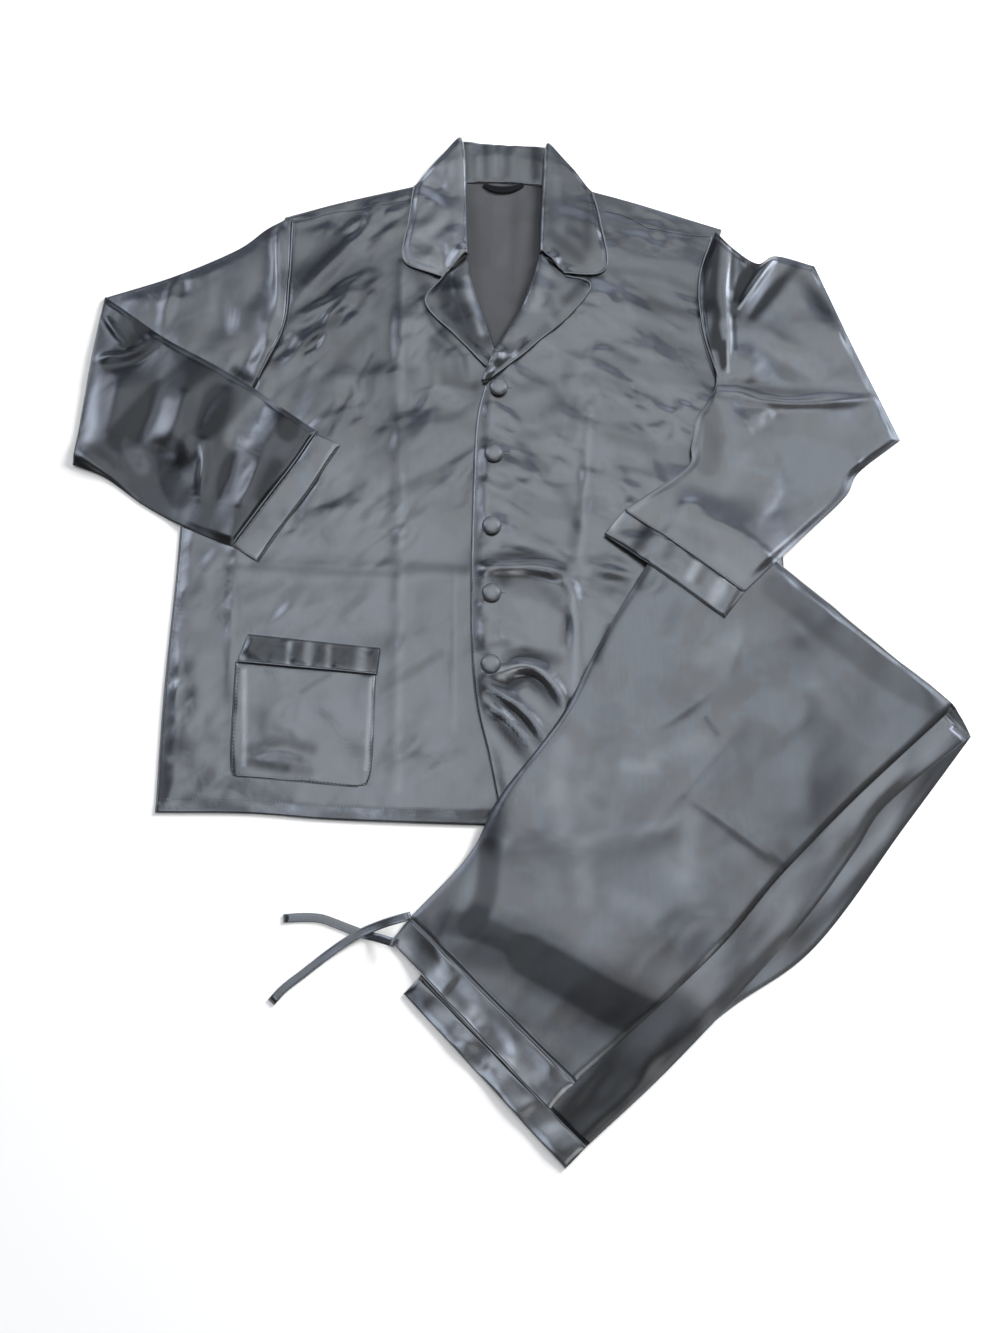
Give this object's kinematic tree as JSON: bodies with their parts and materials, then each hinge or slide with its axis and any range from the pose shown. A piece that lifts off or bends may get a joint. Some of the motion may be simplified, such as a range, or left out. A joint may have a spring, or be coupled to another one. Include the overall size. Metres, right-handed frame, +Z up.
{
  "type": "pyjama set",
  "caption": "Satin pyjama set laid flat: jacket with notched collar, covered buttons and hip pocket, and drawstring trousers folded over its lower corner.",
  "frame": {"origin": "on the surface the set lies on, at the centre of its footprint without the drawstring ends", "axes": "+X towards the wearer's left side of the jacket, +Y from the jacket's hem towards its collar, +Z up from the surface"},
  "size_m": [0.9082, 1.08, 0.0172],
  "materials": {
    "satin": "steel-grey satin, smooth and softly shiny",
    "satin_inside": "dull wrong side of the grey satin",
    "satin_band": "doubled grey satin of cuffs, bands and drawstring, shinier, edged with piping",
    "covered_button": "domed button covered with the grey satin",
    "ribbon": "plain dark woven ribbon"
  },
  "bodies": {
    "root": {"back": "satin_inside", "front_right": "satin", "front_left": "satin", "lapel_right": "satin", "lapel_left": "satin", "collar_stand": "satin", "collar_right": "satin", "collar_left": "satin", "neck_loop": "ribbon", "pocket": "satin", "pocket_band": "satin_band", "button_1": "covered_button", "button_2": "covered_button", "button_3": "covered_button", "button_4": "covered_button", "button_5": "covered_button", "sleeve_right": "satin", "cuff_right": "satin_band", "sleeve_left": "satin", "cuff_left": "satin_band", "leg_left": "satin", "leg_right": "satin", "waistband": "satin_band", "hem_band": "satin_band", "drawstring_upper": "satin_band", "drawstring_lower": "satin_band"}
  },
  "joints": []
}
